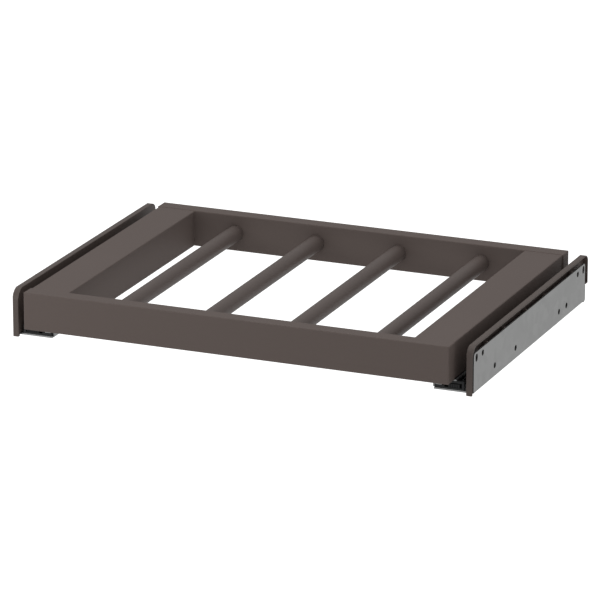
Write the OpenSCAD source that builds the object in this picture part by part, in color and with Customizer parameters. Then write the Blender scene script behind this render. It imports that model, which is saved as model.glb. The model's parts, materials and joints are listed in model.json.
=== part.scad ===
// Pull-out pants hanger for a wardrobe: a dark frame with four hanging rods
// on two flat ball-bearing runners, each screwed to a wardrobe side.
// X runs from side to side, the frame pulls out towards -Y, Z is up.
// The origin is midway between the wardrobe sides, level with the brackets'
// front edges and with their undersides. All lengths are in millimetres.

/* [Wardrobe bay] */
// Clear width between the two wardrobe sides
bay_w = 465; // [400:1:600]

/* [Frame] */
// Overall depth of the frame
frame_d = 324; // [280:1:400]
// How far the frame's front face stands ahead of the brackets
frame_lead = 16; // [14:0.5:24]
// Space from a wardrobe side to the end of the rails
side_gap = 18.5; // [17:0.1:19.5]
// Height of the front and back rails
rail_h = 36.7; // [30:0.1:45]
// Thickness of the front and back rails
rail_t = 16; // [14:0.5:18]
// Width of a side board
board_w = 39; // [36:0.5:50]
// How far a side board stands in from the rails' ends
board_inset = 1; // [0.5:0.1:2]
// How far a side board's top lies below the rails' tops
board_drop = 0.5; // [0:0.1:2]
// Rounding of the frame's edges
edge_r = 1.2; // [0.6:0.1:2.5]

/* [Hanging rods] */
// Outer diameter of a rod
rod_d = 16.2; // [12:0.1:18]
// Wall of the rod's tube
rod_wall = 1.2; // [0.8:0.1:2]
// Distance from a side board to the axis of the nearest rod
rod_end_set = 44.25; // [30:0.25:60]
// How deep a rod sits in each rail
rod_seat = 8; // [5:0.5:10]

/* [Mounting brackets] */
// How far a bracket's rear edge stands ahead of the frame's rear face
plate_inset = 3; // [1:0.1:12]
// How far the plate's rear edge steps back behind the cover
plate_step = 1.7; // [0.5:0.1:3]
// Height of a bracket
plate_h = 38.7; // [38:0.1:45]
// Steel thickness of a bracket
sheet_t = 1.5; // [1:0.1:2]
// Inside radius of the bend between plate and flange
bend_in = 0.2; // [0.1:0.1:2]
// Width of the flange under the runner
flange_w = 39.5; // [38:0.1:41]
// Distance of the flange's front edge from the plate's front edge
flange_set = 1.7; // [0.5:0.1:4]
// Rounding of the plate's corners
plate_corner_r = 3; // [1:0.5:6]
// Diameter of the screw holes
screw_hole_d = 5.6; // [4:0.1:6]
// Height of the end slots
slot_h = 7.6; // [6.2:0.1:9]
// Distance of the upper row of holes from the bracket's top edge
upper_row_drop = 5.4; // [5:0.1:8]
// Height of the lower row of holes
lower_row_z = 11.3; // [9:0.1:14]
// Distance of the front slot from the bracket's front edge
slot_set_front = 7; // [5:0.5:9]
// Distance of the rear slot from the bracket's rear edge
slot_set_rear = 6.5; // [6:0.1:9]
// Step from each slot to the upper hole beside it
upper_step = 16; // [10:0.5:24]
// Distance of the first lower hole from the front edge
lower_set_front = 55; // [40:0.5:70]
// Step between the two front lower holes
lower_step_front = 55.5; // [32:0.5:64]
// Distance of the last lower hole from the rear edge
lower_set_rear = 54; // [40:0.1:70]
// Step between the two rear lower holes
lower_step_rear = 21; // [16:0.5:32]

/* [Side covers] */
// Width of a cover
cover_w = 6.1; // [5.6:0.1:7]
// Wall of the cover's moulding
cover_wall = 1.2; // [1:0.1:1.8]
// How far the cover's front stands ahead of the bracket
cover_lead = 2.6; // [2:0.1:3.5]
// How far the cover rises above the bracket
cover_rise = 6.8; // [5:0.1:8]
// How far the front wall reaches below the bracket
cover_drop = 1.4; // [1:0.1:5]
// How far the cover reaches behind the bracket
cover_tail = 8.8; // [5:0.1:12]
// Height of the rear wall's lower end
cover_tail_z = 16.3; // [8:0.1:24]
// Radius of the cover's front top corner
cover_front_r = 11.5; // [4:0.5:13]
// Radius of the cover's rear top corner
cover_rear_r = 9; // [4:0.5:12]
// Rounding along the cover's edges
cover_edge_r = 0.8; // [0.4:0.1:1]

/* [Runners] */
// How far the frame pulls out
travel = 260; // [220:1:265]
// Ball diameter
ball_d = 3.2; // [2.8:0.1:3.3]
// Width of the rail that carries the frame, over its ball grooves
core_w = 16.2; // [15:0.1:17]
// Thickness of a grooved wall
race_wall = 2; // [1.9:0.1:2.3]
// Thickness of the middle rail's walls
mid_wall = 2.8; // [2.7:0.1:3.2]
// Floor thickness of the fixed and middle rails
floor_t = 1; // [0.8:0.1:1.3]
// Thickness of the carrying rail's web
web_t = 1.2; // [1:0.1:1.6]
// Depth of the carrying rail's walls below its web
core_h = 4.7; // [4.1:0.1:5.4]
// Thickness of the ball cages
cage_t = 0.5; // [0.4:0.05:0.6]
// Balls in each row
balls_per_row = 6; // [3:1:10]

/* [Front catches] */
// Depth of a catch from front to back
catch_d = 15; // [13:0.5:17]
// Width of the catch's screwed block
catch_block_w = 9.6; // [9:0.1:10.5]
// Width of the release lever
lever_w = 11.7; // [10:0.1:12]
// Thickness of the release lever
lever_t = 3.4; // [2.6:0.1:3.6]
// Diameter of the lever's pin
pin_d = 3; // [2:0.1:3.6]

/* [Hidden] */
$fn = 48;

left = -1;
right = 1;
rod_count = 4;
arc_steps = 5;
corner_steps = 12;
overrun = 1;

foil_colour = [0.365, 0.327, 0.307];
cover_colour = [0.345, 0.306, 0.290];
zinc_colour = [0.62, 0.63, 0.63];
steel_colour = [0.75, 0.76, 0.77];
black_colour = [0.09, 0.09, 0.09];
cage_colour = [0.25, 0.26, 0.27];
wood_colour = [0.72, 0.58, 0.40];

// Clearances
running_gap = 0.25;
race_play = 0.05;
race_face = 0.7;
roof_gap = 0.6;
seat_play = 0.1;
fit_play = 0.3;
pin_play = 0.08;

// Levels of one runner, from the bracket's underside up
fixed_z0 = sheet_t;
fixed_top = fixed_z0 + floor_t;
outer_cage_z0 = fixed_top + running_gap;
outer_cage_z1 = outer_cage_z0 + cage_t;
mid_z0 = outer_cage_z1 + running_gap;
mid_top = mid_z0 + floor_t;
inner_cage_z0 = mid_top + running_gap;
inner_cage_z1 = inner_cage_z0 + cage_t;
core_z0 = inner_cage_z1 + running_gap;
web_z0 = core_z0 + core_h;
frame_z0 = web_z0 + web_t;
wall_z1 = web_z0 - roof_gap;
outer_ball_z = (mid_z0 + wall_z1) / 2;
inner_ball_z = (core_z0 + wall_z1) / 2;
frame_z1 = frame_z0 + rail_h;
rod_z = frame_z0 + rail_h / 2;

// Half widths of one runner, from its centre line out
core_out = core_w / 2;
core_in = core_out - race_wall;
inner_row = core_out + race_face;
mid_in = inner_row + race_face;
mid_out = mid_in + mid_wall;
outer_row = mid_out + race_face;
fixed_in = outer_row + race_face;
fixed_out = fixed_in + race_wall;
race_r = ball_d / 2 + race_play;
rail_proud = 1.7;

// Places across the wardrobe, on the right side
wall_x = bay_w / 2;
flange_x = wall_x - flange_w;
runner_x = flange_x - rail_proud + fixed_out;
rail_x = wall_x - side_gap;
board_x1 = rail_x - board_inset;
board_x0 = board_x1 - board_w;
rod_pitch = 2 * (board_x0 - rod_end_set) / (rod_count - 1);
wall_play = 0.5;
cover_x1 = wall_x - wall_play;
cover_x0 = wall_x - wall_play - cover_w;

// Places along the depth
front_y = -frame_lead;
front_in = front_y + rail_t;
back_y = front_y + frame_d;
back_in = back_y - rail_t;
plate_len = back_y - plate_inset;
cover_y0 = -cover_lead;
cover_y1 = plate_len + cover_tail;
cover_z0 = -cover_drop;
cover_z1 = plate_h + cover_rise;
bend_r = sheet_t + bend_in;
flange_y0 = flange_set;
flange_tail = 5;
flange_y1 = plate_len - flange_tail;
step_y = plate_len - plate_step;
step_z = cover_tail_z - fit_play;
upper_row_z = plate_h - upper_row_drop;
bumper_len = 3;
apron_t = 2;
hook_reach = 4.5;
fixed_y0 = flange_y0 + apron_t + running_gap;
core_y1 = flange_y1 - bumper_len - 2 * fit_play;
catch_y0 = flange_y0 + web_t + running_gap;
catch_y1 = catch_y0 + catch_d;
hook_y1 = catch_y1 + hook_reach;
mid_y0 = hook_y1 + roof_gap;
mid_y1 = core_y1;

// Pull-out stops: lugs on the rails, which the ball cages run up against
lug_w = 6;
lug_len = 2;
lug_set = 6;
outer_full_y0 = mid_y0 + lug_len + fit_play;
outer_full_y1 = mid_y1 - travel / 2 - lug_set - lug_len - fit_play;
inner_full_y0 = mid_y0 - travel / 2 + lug_set + lug_len + fit_play;
inner_full_y1 = core_y1 - travel - lug_len - fit_play;
outer_cage_y0 = outer_full_y0 + travel / 4;
outer_cage_y1 = outer_full_y1 + travel / 4;
inner_cage_y0 = inner_full_y0 + travel * 3 / 4;
inner_cage_y1 = inner_full_y1 + travel * 3 / 4;
cage_margin = 8;
cage_rim = 0.4;

// Rivets between a fixed rail and its flange
rivet_d = 4;
rivet_head_d = 7;
rivet_head_h = 0.9;
rivet_set = 36;
rivet_count = 3;

// Corner joints of the frame
cam_d = 14.9;
cam_bore_d = 15.2;
cam_h = 12.4;
cam_set = 24;
cam_in = 10;
bolt_rise = 8;
bolt_z = frame_z0 + bolt_rise;
bolt_d = 6;
bolt_head_d = 6.6;
bolt_neck_d = 3.8;
bolt_bore_d = 7.2;
bolt_grip = 10;
bolt_collar_t = 1;
dowel_d = 8;
dowel_len = 30;
dowel_grip = 10;
dowel_chamfer = 0.8;
dowel_top_drop = 9;
dowel_side_rise = 17;
drive_w = 1.4;
drive_len = 8;
drive_depth = 2;

// Catch and lever details
tongue_w = 6;
tongue_set = 1;
tongue_z0 = 4.9;
catch_x0 = runner_x - fixed_in + fit_play;
catch_x1 = runner_x + fixed_in - fit_play;
catch_z0 = fixed_top + running_gap + race_play;
catch_z1 = web_z0 - seat_play;
slab_t = 2.2;
slab_z0 = catch_z1 - slab_t;
boss_d = 6;
boss_hole_d = 6.6;
catch_screw_d = 3.5;
catch_screw_head_d = 5.6;
catch_screw_head_h = 1.6;
catch_screw_len = 13;
catch_screw_z = catch_z1 - fit_play;
catch_screw_set = 8;
catch_screw_step = 8.4;
pilot_d = 3.7;
lever_rise = 0.8;
lever_side = 2;
lever_back = 1.6;
lever_z0 = catch_z0 + lever_rise;
lever_z1 = min(lever_z0 + lever_t, slab_z0 - running_gap);
lever_x1 = catch_x1 - lever_side;
lever_x0 = lever_x1 - lever_w;
lever_y0 = flange_y0;
lever_y1 = catch_y1 - lever_back;
pin_side = 5;
pin_back = 5;
pin_x = lever_x1 - pin_side;
pin_y = catch_y1 - pin_back;
hook_t = 1.6;
hook_gap = 0.3;
nib_len = 1.6;
nib_reach = 0.6;
hook_h = 1.1;
wall_back = 1;
core_wall_y0 = catch_y1 + wall_back;
stud_d = 5.6;
stud_hole_d = 6.2;
stud_h = 8;
stud_set = 16;

// Upper and lower screw holes of a bracket, as [distance from front, height]
round_holes = [
    [slot_set_front + upper_step, upper_row_z],
    [plate_len - slot_set_rear - upper_step, upper_row_z],
    [lower_set_front, lower_row_z],
    [lower_set_front + lower_step_front, lower_row_z],
    [plate_len - lower_set_rear - lower_step_rear, lower_row_z],
    [plate_len - lower_set_rear, lower_row_z]
];
slot_places = [slot_set_front, plate_len - slot_set_rear];

// Places of a cover's inner ribs along the bracket, clear of its screw holes
rib_shares = [0.12, 0.46, 0.63, 0.88];
rib_places = concat([lower_set_front + lower_step_front / 2], rib_shares * plate_len);
rib_t = 1.6;
tab_t = 1.2;

// Helpers

function arc(c, r, a0, a1, steps) =
    [for (i = [0 : steps]) c + r * [cos(a0 + (a1 - a0) * i / steps), sin(a0 + (a1 - a0) * i / steps)]];

// Outline of a rectangle from low corner a to high corner b with radius r
function round_outline(a, b, r) = concat(
    arc([b.x - r, b.y - r], r, 0, 90, arc_steps),
    arc([a.x + r, b.y - r], r, 90, 180, arc_steps),
    arc([a.x + r, a.y + r], r, 180, 270, arc_steps),
    arc([b.x - r, a.y + r], r, 270, 360, arc_steps)
);

// A box from its low corner a to its high corner b
module block(a, b) {
    translate(a) cube(b - a);
}

// Children that are drawn for the right side, mirrored for the left one
module on_side(s) {
    if (s == left) mirror([1, 0, 0]) children();
    else children();
}

// Children that are drawn for the front right corner, copied to all four
module at_corners() {
    for (s = [left, right]) on_side(s) {
        translate([0, front_in, 0]) children();
        translate([0, back_in, 0]) mirror([0, 1, 0]) children();
    }
}

// A profile in X and Z, extruded from y0 to y1
module along_y(y0, y1) {
    translate([0, y1, 0]) rotate([90, 0, 0]) linear_extrude(y1 - y0) children();
}

// A profile in Y and Z, extruded from x0 to x1
module along_x(x0, x1) {
    translate([x0, 0, 0]) rotate([90, 0, 90]) linear_extrude(x1 - x0) children();
}

// A profile in X and Y, extruded from z0 to z1
module along_z(z0, z1) {
    translate([0, 0, z0]) linear_extrude(z1 - z0) children();
}

module rod_along_y(d, y0, y1) {
    translate([0, y1, 0]) rotate([90, 0, 0]) cylinder(d = d, h = y1 - y0);
}

module rod_along_x(d, x0, x1) {
    translate([x0, 0, 0]) rotate([0, 90, 0]) cylinder(d = d, h = x1 - x0);
}

// A box with all twelve edges rounded
module soft_block(a, b, r) {
    intersection() {
        along_x(a.x, b.x) polygon(round_outline([a.y, a.z], [b.y, b.z], r));
        along_y(a.y, b.y) polygon(round_outline([a.x, a.z], [b.x, b.z], r));
        along_z(a.z, b.z) polygon(round_outline([a.x, a.y], [b.x, b.y], r));
    }
}

// Mounting brackets

module plate_outline() {
    polygon(concat(
        [[0, bend_r], [0, plate_h - plate_corner_r]],
        arc([plate_corner_r, plate_h - plate_corner_r], plate_corner_r, 180, 90, arc_steps),
        arc([step_y - plate_corner_r, plate_h - plate_corner_r], plate_corner_r, 90, 0, arc_steps),
        [[step_y, step_z], [plate_len, step_z]],
        arc([plate_len - plate_corner_r, plate_corner_r], plate_corner_r, 0, -90, arc_steps),
        [[flange_y1, 0], [flange_y1, bend_r]]
    ));
}

// Bend that joins the flange to the plate, and runs on into both
module bend_profile() {
    intersection() {
        difference() {
            circle(bend_r);
            circle(bend_in);
        }
        translate([0, -bend_r]) square(bend_r);
    }
    translate([bend_in, 0]) square([sheet_t, bend_r]);
    translate([-bend_r, -bend_r]) square([bend_r, sheet_t]);
}

module mounting_bracket(s) {
    color(zinc_colour) on_side(s) difference() {
        union() {
            along_x(wall_x - sheet_t, wall_x) plate_outline();
            along_y(flange_y0, flange_y1) translate([wall_x - bend_r, bend_r]) bend_profile();
            block([flange_x, flange_y0, 0], [wall_x - bend_r, flange_y1, sheet_t]);
        }
        for (p = round_holes) translate([0, p.x, p.y])
            rod_along_x(screw_hole_d, wall_x - bend_r, wall_x + overrun);
        for (y = slot_places) translate([0, y, upper_row_z]) {
            translate([0, 0, (slot_h - screw_hole_d) / 2])
                rod_along_x(screw_hole_d, wall_x - bend_r, wall_x + overrun);
            translate([0, 0, (screw_hole_d - slot_h) / 2])
                rod_along_x(screw_hole_d, wall_x - bend_r, wall_x + overrun);
            block([wall_x - bend_r, -screw_hole_d / 2, (screw_hole_d - slot_h) / 2],
                  [wall_x + overrun, screw_hole_d / 2, (slot_h - screw_hole_d) / 2]);
        }
        rivet_places() translate([0, 0, -overrun])
            cylinder(d = rivet_d + seat_play, h = fixed_top + 2 * overrun);
    }
}

// Side covers: a thin moulding over the bracket's top and its ends, open to the wardrobe's wall

// Rounded top of a cover's outline, or of the hollow that lies a wall inside it
function cover_top(inset) = concat(
    arc([cover_y1 - cover_rear_r, cover_z1 - cover_rear_r], cover_rear_r - inset, 0, 90, corner_steps),
    arc([cover_y0 + cover_front_r, cover_z1 - cover_front_r], cover_front_r - inset, 90, 180, corner_steps)
);

module cover_outline() {
    polygon(concat(
        [[cover_y0, cover_z0]],
        [[-seat_play, cover_z0], [-seat_play, fixed_z0 + fit_play]],
        [[plate_len + seat_play, fixed_z0 + fit_play], [plate_len + seat_play, cover_tail_z]],
        [[cover_y1, cover_tail_z]],
        cover_top(0)
    ));
}

module cover_hollow() {
    polygon(concat(
        [[cover_y0 + cover_wall, cover_z0 - overrun], [plate_len + seat_play, cover_z0 - overrun]],
        [[plate_len + seat_play, cover_tail_z + cover_wall]],
        [[cover_y1 - cover_wall, cover_tail_z + cover_wall]],
        cover_top(cover_wall)
    ));
}

module side_cover(s) {
    hollow_x0 = cover_x0 + cover_wall;
    rib_x1 = wall_x - sheet_t - seat_play;
    tab_z0 = plate_h + seat_play;
    color(cover_colour) on_side(s) union() {
        difference() {
            intersection() {
                along_x(cover_x0, cover_x1) cover_outline();
                along_y(cover_y0, cover_y1)
                    polygon(round_outline([cover_x0, cover_z0], [cover_x1, cover_z1], cover_edge_r));
                along_z(cover_z0, cover_z1)
                    polygon(round_outline([cover_x0, cover_y0], [cover_x1, cover_y1], cover_edge_r));
            }
            along_x(hollow_x0, wall_x + overrun) cover_hollow();
        }
        // Ribs that bear on the bracket's plate, each with a tab over its top edge
        for (y = rib_places) {
            block([hollow_x0 - cover_wall / 2, y - rib_t / 2, fixed_z0 + 2 * cover_wall],
                  [rib_x1, y + rib_t / 2, tab_z0 + tab_t]);
            block([rib_x1 - cover_wall / 2, y - rib_t / 2, tab_z0],
                  [wall_x - sheet_t / 2, y + rib_t / 2, tab_z0 + tab_t]);
        }
    }
}

// Fixed rails

module fixed_profile() {
    chamfer = floor_t / 2;
    difference() {
        polygon([
            [-fixed_out + chamfer, fixed_z0], [fixed_out - chamfer, fixed_z0],
            [fixed_out, fixed_z0 + chamfer], [fixed_out, wall_z1],
            [fixed_in, wall_z1], [fixed_in, fixed_top],
            [-fixed_in, fixed_top], [-fixed_in, wall_z1],
            [-fixed_out, wall_z1], [-fixed_out, fixed_z0 + chamfer]
        ]);
        for (s = [left, right]) translate([s * outer_row, outer_ball_z]) circle(race_r);
    }
}

module fixed_rail(s) {
    color(zinc_colour) on_side(s) difference() {
        translate([runner_x, 0, 0]) union() {
            along_y(fixed_y0, flange_y1) fixed_profile();
            block([-lug_w / 2, mid_y0, fixed_z0], [lug_w / 2, mid_y0 + lug_len, outer_cage_z1]);
        }
        // Room beside the release lever
        translate([runner_x, 0, 0])
            block([lug_w, fixed_y0 - overrun, fixed_z0 - overrun],
                  [fixed_out + overrun, mid_y0, wall_z1 + overrun]);
        rivet_places() cylinder(d = rivet_d + seat_play, h = fixed_top + overrun);
    }
}

// Rivet axes along a runner's centre line
module rivet_places() {
    first = flange_y0 + rivet_set;
    step = (flange_y1 - flange_y0 - 2 * rivet_set) / (rivet_count - 1);
    for (i = [0 : rivet_count - 1]) translate([runner_x, first + i * step, 0]) children();
}

module rivet() {
    rotate_extrude() polygon([
        [0, -rivet_head_h], [rivet_head_d / 4, -rivet_head_h],
        [rivet_head_d / 2, -rivet_head_h / 3], [rivet_head_d / 2, 0],
        [rivet_d / 2, 0], [rivet_d / 2, fixed_top], [0, fixed_top]
    ]);
}

module rail_rivets() {
    color(steel_colour) for (s = [left, right]) on_side(s) rivet_places() rivet();
}

module rear_bumpers() {
    color(black_colour) for (s = [left, right]) on_side(s) translate([runner_x, 0, 0])
        block([-mid_in, flange_y1 - bumper_len, fixed_top], [mid_in, flange_y1, wall_z1]);
}

// Middle rails

module middle_profile() {
    difference() {
        polygon([
            [-mid_out, mid_z0], [mid_out, mid_z0], [mid_out, wall_z1], [mid_in, wall_z1],
            [mid_in, mid_top], [-mid_in, mid_top], [-mid_in, wall_z1], [-mid_out, wall_z1]
        ]);
        for (s = [left, right]) {
            translate([s * outer_row, outer_ball_z]) circle(race_r);
            translate([s * inner_row, inner_ball_z]) circle(race_r);
        }
    }
}

module middle_rail(s) {
    color(zinc_colour) on_side(s) translate([runner_x, 0, 0]) {
        along_y(mid_y0, mid_y1) middle_profile();
        block([-lug_w / 2, mid_y1 - lug_set - lug_len, outer_cage_z0],
              [lug_w / 2, mid_y1 - lug_set, mid_top]);
        block([-lug_w / 2, mid_y0 + lug_set, mid_z0],
              [lug_w / 2, mid_y0 + lug_set + lug_len, inner_cage_z1]);
    }
}

// Ball cages: a folded strip that holds a row of balls on each side

module cage_profile(row, z0, z1) {
    half = cage_t / 2;
    polygon([
        [-row - half, z0], [row + half, z0], [row + half, z1], [row - half, z1],
        [row - half, z0 + cage_t], [-row + half, z0 + cage_t], [-row + half, z1], [-row - half, z1]
    ]);
}

// Ball centres of one cage
module ball_places(y0, y1) {
    step = (y1 - y0 - 2 * cage_margin) / (balls_per_row - 1);
    for (i = [0 : balls_per_row - 1]) translate([0, y0 + cage_margin + i * step, 0]) children();
}

module ball_cage(s, row, ball_z, y0, y1, z0) {
    cage_z1 = ball_z + ball_d / 2 + race_play + cage_rim;
    color(cage_colour) on_side(s) translate([runner_x, 0, 0]) difference() {
        along_y(y0, y1) cage_profile(row, z0, cage_z1);
        ball_places(y0, y1) translate([0, 0, ball_z])
            rod_along_x(ball_d + 2 * race_play, -row - overrun, row + overrun);
    }
}

module ball_rows(s, row, ball_z, y0, y1) {
    color(steel_colour) on_side(s) translate([runner_x, 0, ball_z]) ball_places(y0, y1) {
        translate([row, 0, 0]) sphere(d = ball_d);
        translate([-row, 0, 0]) sphere(d = ball_d);
    }
}

module outer_ball_cage(s) {
    ball_cage(s, outer_row, outer_ball_z, outer_cage_y0, outer_cage_y1, outer_cage_z0);
}

module outer_balls(s) {
    ball_rows(s, outer_row, outer_ball_z, outer_cage_y0, outer_cage_y1);
}

module inner_ball_cage(s) {
    ball_cage(s, inner_row, inner_ball_z, inner_cage_y0, inner_cage_y1, inner_cage_z0);
}

module inner_balls(s) {
    ball_rows(s, inner_row, inner_ball_z, inner_cage_y0, inner_cage_y1);
}

// Carrying rails: the web lies against the frame's underside

module core_profile() {
    difference() {
        union() {
            translate([core_in, core_z0]) square([race_wall, web_z0 - core_z0 + web_t / 2]);
            translate([-core_out, core_z0]) square([race_wall, web_z0 - core_z0 + web_t / 2]);
        }
        for (s = [left, right]) translate([s * inner_row, inner_ball_z]) circle(race_r);
    }
}

module carrying_rail(s) {
    web_x0 = catch_x0 - runner_x;
    tongue_x0 = web_x0 + tongue_set;
    color(zinc_colour) on_side(s) difference() {
        translate([runner_x, 0, 0]) union() {
            block([web_x0, flange_y0, web_z0], [core_out, core_y1, frame_z0]);
            along_y(core_wall_y0, core_y1) core_profile();
            // Cross tab that the inner cage stops against
            block([-core_in - race_wall / 2, core_y1 - lug_len, inner_cage_z0],
                  [core_in + race_wall / 2, core_y1, web_z0 + web_t / 2]);
            // Bent front tongue over the catch
            block([tongue_x0, flange_y0, tongue_z0], [tongue_x0 + tongue_w, flange_y0 + web_t, frame_z0]);
            translate([0, core_y1 - stud_set, web_z0]) cylinder(d = stud_d, h = web_t + stud_h);
        }
        catch_screw_places() cylinder(d = boss_hole_d, h = frame_z1);
        // Window for the lever's nib
        translate([runner_x, 0, 0])
            block([0, hook_y1 - nib_len - 2 * fit_play, inner_cage_z0],
                  [core_out + overrun, hook_y1 + fit_play, lever_z1 + fit_play]);
    }
}

// Frame

module rod_place(i) {
    translate([(i - (rod_count + 1) / 2) * rod_pitch, 0, rod_z]) children();
}

module rail_bores() {
    sink = rod_seat + fit_play;
    for (i = [1 : rod_count]) rod_place(i)
        rod_along_y(rod_d + 2 * seat_play, front_in - sink, back_in + sink);
    at_corners() {
        bolt_axis() rod_along_y(bolt_d + seat_play, -bolt_grip - fit_play, overrun);
        dowel_axes() rod_along_y(dowel_d + seat_play, -dowel_grip - fit_play, overrun);
    }
}

module front_rail() {
    color(foil_colour) difference() {
        soft_block([-rail_x, front_y, frame_z0], [rail_x, front_in, frame_z1], edge_r);
        rail_bores();
    }
}

module back_rail() {
    color(foil_colour) difference() {
        soft_block([-rail_x, back_in, frame_z0], [rail_x, back_y, frame_z1], edge_r);
        rail_bores();
    }
}

module side_board(s) {
    color(foil_colour) difference() {
        on_side(s) along_y(front_in, back_in)
            polygon(round_outline([board_x0, frame_z0], [board_x1, frame_z1 - board_drop], edge_r));
        at_corners() {
            bolt_axis() rod_along_y(bolt_bore_d, -overrun, cam_set);
            dowel_axes() rod_along_y(dowel_d + seat_play, -overrun, dowel_len - dowel_grip + fit_play);
            cam_axis() translate([0, 0, -overrun]) cylinder(d = cam_bore_d, h = cam_h + fit_play + overrun);
        }
        for (side = [left, right]) on_side(side) {
            catch_screw_places() cylinder(d = pilot_d, h = catch_screw_z + catch_screw_len + fit_play);
            translate([runner_x, core_y1 - stud_set, frame_z0 - overrun])
                cylinder(d = stud_hole_d, h = stud_h + fit_play + overrun);
        }
    }
}

module hanging_rod(i) {
    color(foil_colour) rod_place(i) difference() {
        rod_along_y(rod_d, front_in - rod_seat, back_in + rod_seat);
        rod_along_y(rod_d - 2 * rod_wall, front_in - rod_seat - overrun, back_in + rod_seat + overrun);
    }
}

// Corner fittings, drawn from a rail's inner face with the board towards +Y

module bolt_axis() {
    translate([board_x0 + cam_in, 0, bolt_z]) children();
}

module cam_axis() {
    translate([board_x0 + cam_in, cam_set, frame_z0]) children();
}

module dowel_axes() {
    translate([board_x0 + cam_in, 0, frame_z1 - dowel_top_drop]) children();
    translate([board_x1 - cam_in, 0, frame_z0 + dowel_side_rise]) children();
}

module dowel() {
    y0 = -dowel_grip;
    y1 = dowel_len - dowel_grip;
    rotate([-90, 0, 0]) rotate_extrude() polygon([
        [0, y0], [dowel_d / 2 - dowel_chamfer, y0], [dowel_d / 2, y0 + dowel_chamfer],
        [dowel_d / 2, y1 - dowel_chamfer], [dowel_d / 2 - dowel_chamfer, y1], [0, y1]
    ]);
}

module corner_dowels() {
    color(wood_colour) at_corners() dowel_axes() dowel();
}

// Threaded end in the rail, collar, shank, then a neck and head inside the cam
module cam_bolt() {
    head_y = cam_set - bolt_head_d / 2;
    neck_y = cam_set - cam_d / 2;
    rotate([-90, 0, 0]) rotate_extrude() polygon([
        [0, -bolt_grip], [bolt_d / 2, -bolt_grip], [bolt_d / 2, 0],
        [bolt_head_d / 2, 0], [bolt_head_d / 2, bolt_collar_t],
        [bolt_d / 2, bolt_collar_t], [bolt_d / 2, neck_y - fit_play],
        [bolt_neck_d / 2, neck_y], [bolt_neck_d / 2, head_y],
        [bolt_head_d / 2, head_y + bolt_collar_t], [bolt_head_d / 2, cam_set],
        [bolt_neck_d / 2, cam_set + bolt_collar_t], [0, cam_set + bolt_collar_t]
    ]);
}

module cam_bolts() {
    color(steel_colour) at_corners() bolt_axis() cam_bolt();
}

module cam_disc() {
    room = bolt_head_d / 2 + fit_play;
    neck = bolt_neck_d / 2 + fit_play;
    difference() {
        translate([0, 0, seat_play]) cylinder(d = cam_d, h = cam_h);
        block([-room, -room - fit_play, bolt_rise - room], [room, room, bolt_rise + room]);
        block([-neck, -cam_d, bolt_rise - neck], [neck, 0, bolt_rise + neck]);
        for (a = [0, 90]) rotate([0, 0, a])
            block([-drive_len / 2, -drive_w / 2, -overrun], [drive_len / 2, drive_w / 2, drive_depth]);
    }
}

module cam_discs() {
    color(steel_colour) at_corners() cam_axis() cam_disc();
}

// Front catches: a block and slab under the carrying rail, screwed to the board

// One screw through the block and one through the slab beside it
module catch_screw_places() {
    for (i = [0, 1])
        translate([catch_x0 + catch_block_w / 2 + i * catch_screw_step, catch_y0 + catch_screw_set, 0])
            children();
}

module front_catch(s) {
    block_x1 = catch_x0 + catch_block_w;
    slab_x0 = catch_x0 + catch_block_w / 2;
    slab_x1 = runner_x + core_out;
    apron_y1 = flange_y0 + apron_t;
    apron_z0 = fixed_z0 + seat_play + race_play;
    apron_x1 = runner_x + fixed_out;
    color(black_colour) on_side(s) difference() {
        union() {
            // Front frame before the fixed rail's end, with the lever inside it
            block([catch_x0, flange_y0, apron_z0], [apron_x1, apron_y1, lever_z0 - running_gap]);
            block([catch_x0, flange_y0, apron_z0], [block_x1, apron_y1, tongue_z0 - running_gap]);
            block([catch_x1, flange_y0, apron_z0], [apron_x1, apron_y1, catch_z1]);
            block([block_x1 - apron_t, flange_y0, slab_z0], [apron_x1, apron_y1, catch_z1]);
            soft_block([catch_x0, catch_y0, catch_z0], [block_x1, catch_y1, catch_z1], running_gap);
            block([slab_x0, catch_y0, slab_z0], [slab_x1, catch_y1, catch_z1]);
            catch_screw_places() translate([0, 0, slab_z0]) cylinder(d = boss_d, h = frame_z0 - slab_z0);
            translate([pin_x, pin_y, lever_z0]) cylinder(d = pin_d, h = slab_z0 - lever_z0 + slab_t / 2);
        }
        catch_screw_places() {
            cylinder(d = catch_screw_d + 2 * seat_play, h = frame_z0 + overrun);
            cylinder(d = catch_screw_head_d + 2 * seat_play, h = catch_screw_z);
        }
    }
}

module catch_screw() {
    head_z = catch_screw_z - catch_screw_head_h;
    tip_z = catch_screw_z + catch_screw_len;
    rotate_extrude() polygon([
        [0, head_z], [catch_screw_head_d / 2 - running_gap, head_z],
        [catch_screw_head_d / 2, head_z + running_gap], [catch_screw_head_d / 2, catch_screw_z],
        [catch_screw_d / 2, catch_screw_z], [catch_screw_d / 2, tip_z - catch_screw_d], [0, tip_z]
    ]);
}

module catch_screws() {
    color(steel_colour) for (s = [left, right]) on_side(s) catch_screw_places() catch_screw();
}

// Release levers: a finger paddle on a pin, with a hook behind it

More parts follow.
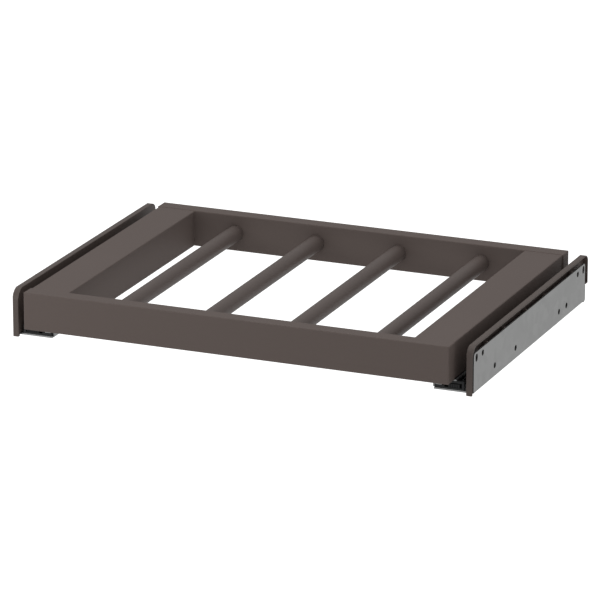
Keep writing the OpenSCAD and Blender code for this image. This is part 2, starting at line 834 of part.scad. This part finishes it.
module release_lever(s) {
    hook_x1 = runner_x + core_in - hook_gap;
    hook_x0 = hook_x1 - hook_t;
    hook_z0 = lever_z1 - hook_h;
    nib_x1 = hook_x1 + hook_gap + nib_reach;
    grip_count = 4;
    grip_step = lever_w / (grip_count + 1);
    color(black_colour) on_side(s) difference() {
        union() {
            along_z(lever_z0, lever_z1)
                polygon(round_outline([lever_x0, lever_y0], [lever_x1, lever_y1], edge_r));
            block([hook_x0, pin_y, hook_z0], [hook_x1, hook_y1, lever_z1]);
            block([hook_x0, hook_y1 - nib_len, hook_z0], [nib_x1, hook_y1, lever_z1]);
        }
        translate([pin_x, pin_y, 0]) cylinder(d = pin_d + 2 * pin_play, h = frame_z0);
        // Finger grooves across the paddle's front
        for (i = [1 : grip_count])
            translate([lever_x0 + i * grip_step, lever_y0, 0]) cylinder(d = grip_step / 2, h = frame_z0);
    }
}

mounting_bracket(left);  // mounting_bracket_left
mounting_bracket(right);  // mounting_bracket_right
side_cover(left);  // side_cover_left
side_cover(right);  // side_cover_right
fixed_rail(left);  // fixed_rail_left
fixed_rail(right);  // fixed_rail_right
rail_rivets();
rear_bumpers();
middle_rail(left);  // middle_rail_left
middle_rail(right);  // middle_rail_right
outer_ball_cage(left);  // outer_ball_cage_left
outer_ball_cage(right);  // outer_ball_cage_right
outer_balls(left);  // outer_balls_left
outer_balls(right);  // outer_balls_right
inner_ball_cage(left);  // inner_ball_cage_left
inner_ball_cage(right);  // inner_ball_cage_right
inner_balls(left);  // inner_balls_left
inner_balls(right);  // inner_balls_right
carrying_rail(left);  // carrying_rail_left
carrying_rail(right);  // carrying_rail_right
front_rail();
back_rail();
side_board(left);  // side_board_left
side_board(right);  // side_board_right
hanging_rod(1);  // hanging_rod_1
hanging_rod(2);  // hanging_rod_2
hanging_rod(3);  // hanging_rod_3
hanging_rod(4);  // hanging_rod_4
corner_dowels();
cam_bolts();
cam_discs();
front_catch(left);  // front_catch_left
front_catch(right);  // front_catch_right
catch_screws();
release_lever(left);  // release_lever_left
release_lever(right);  // release_lever_right
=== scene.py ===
"""Pull-out pants hanger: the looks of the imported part, a studio and the camera."""
import json
import math

import bpy
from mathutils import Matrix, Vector

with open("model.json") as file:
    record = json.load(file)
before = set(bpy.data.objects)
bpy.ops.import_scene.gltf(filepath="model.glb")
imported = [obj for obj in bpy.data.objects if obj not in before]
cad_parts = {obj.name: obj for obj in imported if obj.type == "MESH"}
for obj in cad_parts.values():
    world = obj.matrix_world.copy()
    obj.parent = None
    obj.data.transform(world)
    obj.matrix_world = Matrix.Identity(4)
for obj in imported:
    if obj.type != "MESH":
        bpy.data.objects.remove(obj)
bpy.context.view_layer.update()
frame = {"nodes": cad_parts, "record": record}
NODES = frame["nodes"]
MM = 0.001

# Colours, linear

FOIL = (0.1195, 0.0940, 0.0846)
PAINT = (0.106, 0.084, 0.076)
MOULDED = (0.0930, 0.0728, 0.0645)
ZINC = (0.351, 0.354, 0.351)
BRIGHT = (0.62, 0.62, 0.63)
BLACK = (0.014, 0.014, 0.015)
CAGE = (0.060, 0.064, 0.070)
RUBBER = (0.018, 0.018, 0.018)
BEECH = (0.55, 0.40, 0.24)
WHITE = (1.0, 1.0, 1.0)


def tint(colour, factor):
    return tuple(c * factor for c in colour)


def opaque(colour):
    return (*colour, 1.0)


# Materials

BEVEL_SAMPLES = 6
CAVITY_SHADE_SAMPLES = 8
# Cosine of the turn at an edge below which the painted edge highlight begins
EDGE_HIGHLIGHT_START = 0.985
# Openness at which the painted shade in a cavity begins, and at which it is fully dark
CAVITY_SHADE_START = 0.92
CAVITY_SHADE_END = 0.4
# Sockets of the Mix node when it mixes colours
MIX_SHARE, MIX_BASE, MIX_TOP, MIX_RESULT = 0, 6, 7, 2


class Shader:
    """A material with one Principled shader, and short calls that add its nodes."""

    def __init__(self, name, roughness, metallic=0.0, specular=0.5):
        self.mat = bpy.data.materials.new(name)
        self.mat.use_nodes = True
        self.nodes = self.mat.node_tree.nodes
        self.links = self.mat.node_tree.links
        self.shader = self.nodes["Principled BSDF"]
        self.shader.inputs["Metallic"].default_value = metallic
        self.shader.inputs["Roughness"].default_value = roughness
        self.shader.inputs["Specular IOR Level"].default_value = specular
        self.place = self.nodes.new("ShaderNodeTexCoord").outputs["Object"]

    def stretched(self, scale):
        node = self.nodes.new("ShaderNodeMapping")
        node.inputs["Scale"].default_value = scale
        self.links.new(self.place, node.inputs["Vector"])
        return node.outputs["Vector"]

    def noise(self, scale, detail=3.0, roughness=0.5, vector=None):
        node = self.nodes.new("ShaderNodeTexNoise")
        node.inputs["Scale"].default_value = scale
        node.inputs["Detail"].default_value = detail
        node.inputs["Roughness"].default_value = roughness
        self.links.new(vector or self.place, node.inputs["Vector"])
        return node.outputs["Fac"]

    def flakes(self, scale):
        """A value of its own for each of many crystals."""
        cells = self.nodes.new("ShaderNodeTexVoronoi")
        cells.inputs["Scale"].default_value = scale
        self.links.new(self.place, cells.inputs["Vector"])
        split = self.nodes.new("ShaderNodeSeparateColor")
        self.links.new(cells.outputs["Color"], split.inputs["Color"])
        return split.outputs["Red"]

    def drift(self, colour, mask, dark, light, start=0.3):
        """A colour that drifts between a darker and a lighter tint of itself."""
        node = self.nodes.new("ShaderNodeValToRGB")
        first, last = node.color_ramp.elements
        first.position = start
        first.color = opaque(tint(colour, dark))
        last.position = 1.0 - start
        last.color = opaque(tint(colour, light))
        self.links.new(mask, node.inputs["Fac"])
        return node.outputs["Color"]

    def spread(self, value, low, high):
        node = self.nodes.new("ShaderNodeMapRange")
        node.inputs["To Min"].default_value = low
        node.inputs["To Max"].default_value = high
        self.links.new(value, node.inputs["Value"])
        return node.outputs["Result"]

    def rising(self, value, start, end):
        """0 up to start, rising to 1 at end, which may be the lower of the two."""
        node = self.nodes.new("ShaderNodeMapRange")
        node.inputs["From Min"].default_value = start
        node.inputs["From Max"].default_value = end
        self.links.new(value, node.inputs["Value"])
        return node.outputs["Result"]

    def over(self, base, colour, mask, most):
        """The base with a plain colour laid over it, by as much as most where the mask is 1."""
        node = self.nodes.new("ShaderNodeMix")
        node.data_type = "RGBA"
        self.links.new(self.spread(mask, 0.0, most), node.inputs[MIX_SHARE])
        self.links.new(base, node.inputs[MIX_BASE])
        node.inputs[MIX_TOP].default_value = opaque(colour)
        return node.outputs[MIX_RESULT]

    def edges(self, radius, highlight_full_at):
        """Mask for a painted edge highlight: 0 on flat faces, rising to 1 along rounded and sharp edges.
        """
        bevel = self.nodes.new("ShaderNodeBevel")
        bevel.samples = BEVEL_SAMPLES
        bevel.inputs["Radius"].default_value = radius
        flat = self.nodes.new("ShaderNodeNewGeometry").outputs["True Normal"]
        turn = self.nodes.new("ShaderNodeVectorMath")
        turn.operation = "DOT_PRODUCT"
        self.links.new(bevel.outputs["Normal"], turn.inputs[0])
        self.links.new(flat, turn.inputs[1])
        return self.rising(turn.outputs["Value"], EDGE_HIGHLIGHT_START, highlight_full_at)

    def cavity_shade(self, distance):
        """Mask for painted shade: 0 where a surface lies open, rising to 1 inside holes and narrow gaps.
        """
        occlusion = self.nodes.new("ShaderNodeAmbientOcclusion")
        occlusion.samples = CAVITY_SHADE_SAMPLES
        occlusion.inputs["Distance"].default_value = distance
        return self.rising(occlusion.outputs["AO"], CAVITY_SHADE_START, CAVITY_SHADE_END)

    def colour(self, socket):
        self.links.new(socket, self.shader.inputs["Base Color"])

    def roughness(self, socket):
        self.links.new(socket, self.shader.inputs["Roughness"])

    def bump(self, *layers):
        """Each layer is (height, strength, distance in metres)."""
        normal = None
        for height, strength, distance in layers:
            node = self.nodes.new("ShaderNodeBump")
            node.inputs["Strength"].default_value = strength
            node.inputs["Distance"].default_value = distance
            self.links.new(height, node.inputs["Height"])
            if normal is not None:
                self.links.new(normal, node.inputs["Normal"])
            normal = node.outputs["Normal"]
        self.links.new(normal, self.shader.inputs["Normal"])


def foil():
    """Matt foil on the boards and rails, with a fine print and a faint painted highlight along the
    edges.
    """
    s = Shader("brown_foil", 0.6, specular=0.22)
    fine = s.noise(900.0, 3.0, 0.6)
    print_and_edge_highlight = tint(FOIL, 1.3)
    base = s.drift(FOIL, s.noise(7.0, 4.0), 0.975, 1.025, start=0.32)
    base = s.over(base, print_and_edge_highlight, fine, 0.12)
    # Painted highlight: the lighter tint laid along the edges, as if they caught the light
    s.colour(s.over(base, print_and_edge_highlight, s.edges(0.6 * MM, 0.80), 0.25))
    s.roughness(s.spread(fine, 0.54, 0.68))
    s.bump((fine, 0.10, 0.2 * MM), (s.noise(260.0, 2.0), 0.08, 0.3 * MM))
    return s.mat


def paint():
    """Satin powder coat on the rods: orange peel and fine specks."""
    s = Shader("brown_paint", 0.48, specular=0.28)
    peel = s.noise(650.0, 2.0)
    speck = s.noise(2600.0, 2.0, 0.7)
    base = s.drift(PAINT, s.noise(11.0, 3.0), 0.96, 1.05)
    s.colour(s.over(base, tint(PAINT, 1.5), speck, 0.10))
    s.roughness(s.spread(peel, 0.42, 0.54))
    s.bump((peel, 0.12, 0.25 * MM), (speck, 0.05, 0.1 * MM))
    return s.mat


def moulded(name, colour, low, high, grain=1500.0, edge_highlight_tint=1.5, specular=0.3):
    """Moulded plastic or rubber: a fine grain, and a painted highlight along the edges."""
    s = Shader(name, (low + high) / 2, specular=specular)
    pits = s.noise(grain, 3.0, 0.65)
    base = s.drift(colour, s.noise(16.0, 3.0), 0.94, 1.06)
    base = s.over(base, tint(colour, 1.4), pits, 0.10)
    # Painted highlight: the edges lightened, as if they caught the light
    s.colour(s.over(base, tint(colour, edge_highlight_tint), s.edges(0.5 * MM, 0.78), 0.4))
    s.roughness(s.spread(pits, low, high))
    s.bump((pits, 0.16, 0.2 * MM))
    return s.mat


def zinc(name, colour, low, high, spangle=120.0):
    """Galvanised sheet: soft crystals, a rolled grain, a painted highlight along the cut edges and
    painted shade in holes and gaps.
    """
    s = Shader(name, (low + high) / 2, metallic=1.0)
    flake = s.flakes(spangle)
    grain = s.noise(220.0, 3.0, 0.6, s.stretched((6.0, 0.25, 6.0)))
    base = s.drift(colour, s.noise(14.0, 4.0), 0.985, 1.015)
    base = s.over(base, tint(colour, 1.3), flake, 0.06)
    base = s.over(base, tint(colour, 0.75), grain, 0.06)
    # Painted highlight: cut edges lightened, as if they caught the light
    base = s.over(base, tint(colour, 1.5), s.edges(0.4 * MM, 0.78), 0.3)
    # Painted shade: holes and narrow gaps darkened nearly to black
    s.colour(s.over(base, tint(colour, 0.05), s.cavity_shade(5.0 * MM), 0.97))
    s.roughness(s.spread(flake, low, high))
    s.bump((flake, 0.015, 0.1 * MM), (grain, 0.02, 0.1 * MM))
    return s.mat


def bright_steel():
    """Bright steel of the balls, rivets, cams, bolts and screws, finely turned."""
    s = Shader("bright_steel", 0.28, metallic=1.0)
    turned = s.noise(1100.0, 2.0)
    s.colour(s.drift(BRIGHT, s.noise(60.0, 3.0), 0.9, 1.08))
    s.roughness(s.spread(turned, 0.2, 0.38))
    s.bump((turned, 0.06, 0.1 * MM))
    return s.mat


def beech():
    """Dowel wood, its grain along the depth."""
    s = Shader("dowel_wood", 0.6)
    grain = s.noise(420.0, 5.0, 0.6, s.stretched((1.0, 0.06, 1.0)))
    s.colour(s.drift(BEECH, grain, 0.72, 1.1))
    s.bump((grain, 0.25, 0.3 * MM))
    return s.mat


FINISHES = {
    "brown_foil": foil(),
    "brown_paint": paint(),
    "brown_plastic": moulded("brown_plastic", MOULDED, 0.42, 0.56, edge_highlight_tint=1.15),
    "zinc_sheet": zinc("zinc_sheet", ZINC, 0.38, 0.46),
    "bright_steel": bright_steel(),
    "black_plastic": moulded("black_plastic", BLACK, 0.36, 0.5, edge_highlight_tint=1.8),
    "cage_plastic": moulded("cage_plastic", CAGE, 0.3, 0.42),
    "black_rubber": moulded("black_rubber", RUBBER, 0.62, 0.78, grain=900.0),
    "dowel_wood": beech(),
}
for part in frame["record"]["subparts"]:
    node = NODES[part["node"]]
    node.data.materials.clear()
    node.data.materials.append(FINISHES[part["material_slot"]])


# Studio, in metres and watts

FLOOR_Z = -6.0
FLOOR_HALF = 600.0
FLOOR_COLOUR = (0.6, 0.6, 0.6)
FLOOR_GLOW = 1.0
SKY = 0.45
GROUND = 0.72
HORIZON = 0.1
# Name, place, target, size and power of each lamp
LAMPS = [
    ("overhead", (0.0, 0.2, 1.5), (0.0, 0.15, 0.0), (2.2, 2.6), 14.6),
    ("front_left", (-0.45, -0.45, 0.15), (0.0, 0.0, 0.03), (0.4, 0.3), 0.75),
]


def studio_floor():
    """A pale floor that glows evenly, far enough down for the part to be seen from below."""
    mesh = bpy.data.meshes.new("studio_floor")
    corners = [(-1, -1), (1, -1), (1, 1), (-1, 1)]
    mesh.from_pydata([(x * FLOOR_HALF, y * FLOOR_HALF, FLOOR_Z) for x, y in corners], [], [(0, 1, 2, 3)])
    floor = bpy.data.objects.new("studio_floor", mesh)
    bpy.context.scene.collection.objects.link(floor)
    s = Shader("studio_floor", 1.0, specular=0.0)
    s.shader.inputs["Base Color"].default_value = opaque(FLOOR_COLOUR)
    s.shader.inputs["Emission Color"].default_value = opaque(WHITE)
    s.shader.inputs["Emission Strength"].default_value = FLOOR_GLOW
    mesh.materials.append(s.mat)
    floor.visible_diffuse = False
    floor.visible_glossy = False


def surroundings():
    """Even white light, stronger from below the horizon than from above it."""
    world = bpy.data.worlds.new("studio")
    bpy.context.scene.world = world
    world.use_nodes = True
    nodes, links = world.node_tree.nodes, world.node_tree.links
    direction = nodes.new("ShaderNodeTexCoord").outputs["Generated"]
    height = nodes.new("ShaderNodeSeparateXYZ")
    links.new(direction, height.inputs["Vector"])
    strength = nodes.new("ShaderNodeMapRange")
    strength.inputs["From Min"].default_value = -HORIZON
    strength.inputs["From Max"].default_value = HORIZON
    strength.inputs["To Min"].default_value = GROUND
    strength.inputs["To Max"].default_value = SKY
    links.new(height.outputs["Z"], strength.inputs["Value"])
    nodes["Background"].inputs["Color"].default_value = opaque(WHITE)
    links.new(strength.outputs["Result"], nodes["Background"].inputs["Strength"])


def softbox(name, place, target, size, power):
    """A soft rectangular lamp that the camera doesn't see."""
    light = bpy.data.lights.new(name, "AREA")
    light.shape = "RECTANGLE"
    light.size, light.size_y = size
    light.energy = power
    lamp = bpy.data.objects.new(name, light)
    bpy.context.scene.collection.objects.link(lamp)
    lamp.visible_camera = False
    lamp.location = place
    lamp.rotation_euler = (Vector(target) - Vector(place)).to_track_quat("-Z", "Y").to_euler()


studio_floor()
surroundings()
for lamp in LAMPS:
    softbox(*lamp)


# Camera, at the photograph's viewing angle

AZIMUTH = math.radians(22.61)
ELEVATION = math.radians(17.65)
DISTANCE = 4.6678
AIM = Vector((0.00029, 0.14592, 0.01922))
# Focal length and image width in the photograph's pixels, sensor in millimetres
FOCAL = 4891.74
IMAGE = 600.0
SENSOR = 36.0
FURTHEST = 1500.0

camera = bpy.data.objects.new("camera", bpy.data.cameras.new("camera"))
bpy.context.scene.collection.objects.link(camera)
bpy.context.scene.camera = camera
camera.data.sensor_width = SENSOR
camera.data.lens = FOCAL * SENSOR / IMAGE
camera.data.clip_end = FURTHEST
camera.location = AIM + DISTANCE * Vector((
    math.sin(AZIMUTH) * math.cos(ELEVATION),
    -math.cos(AZIMUTH) * math.cos(ELEVATION),
    math.sin(ELEVATION),
))
camera.rotation_euler = (math.pi / 2 - ELEVATION, 0.0, AZIMUTH)

bpy.context.scene.view_settings.view_transform = "Standard"
bpy.context.scene.view_settings.look = "None"
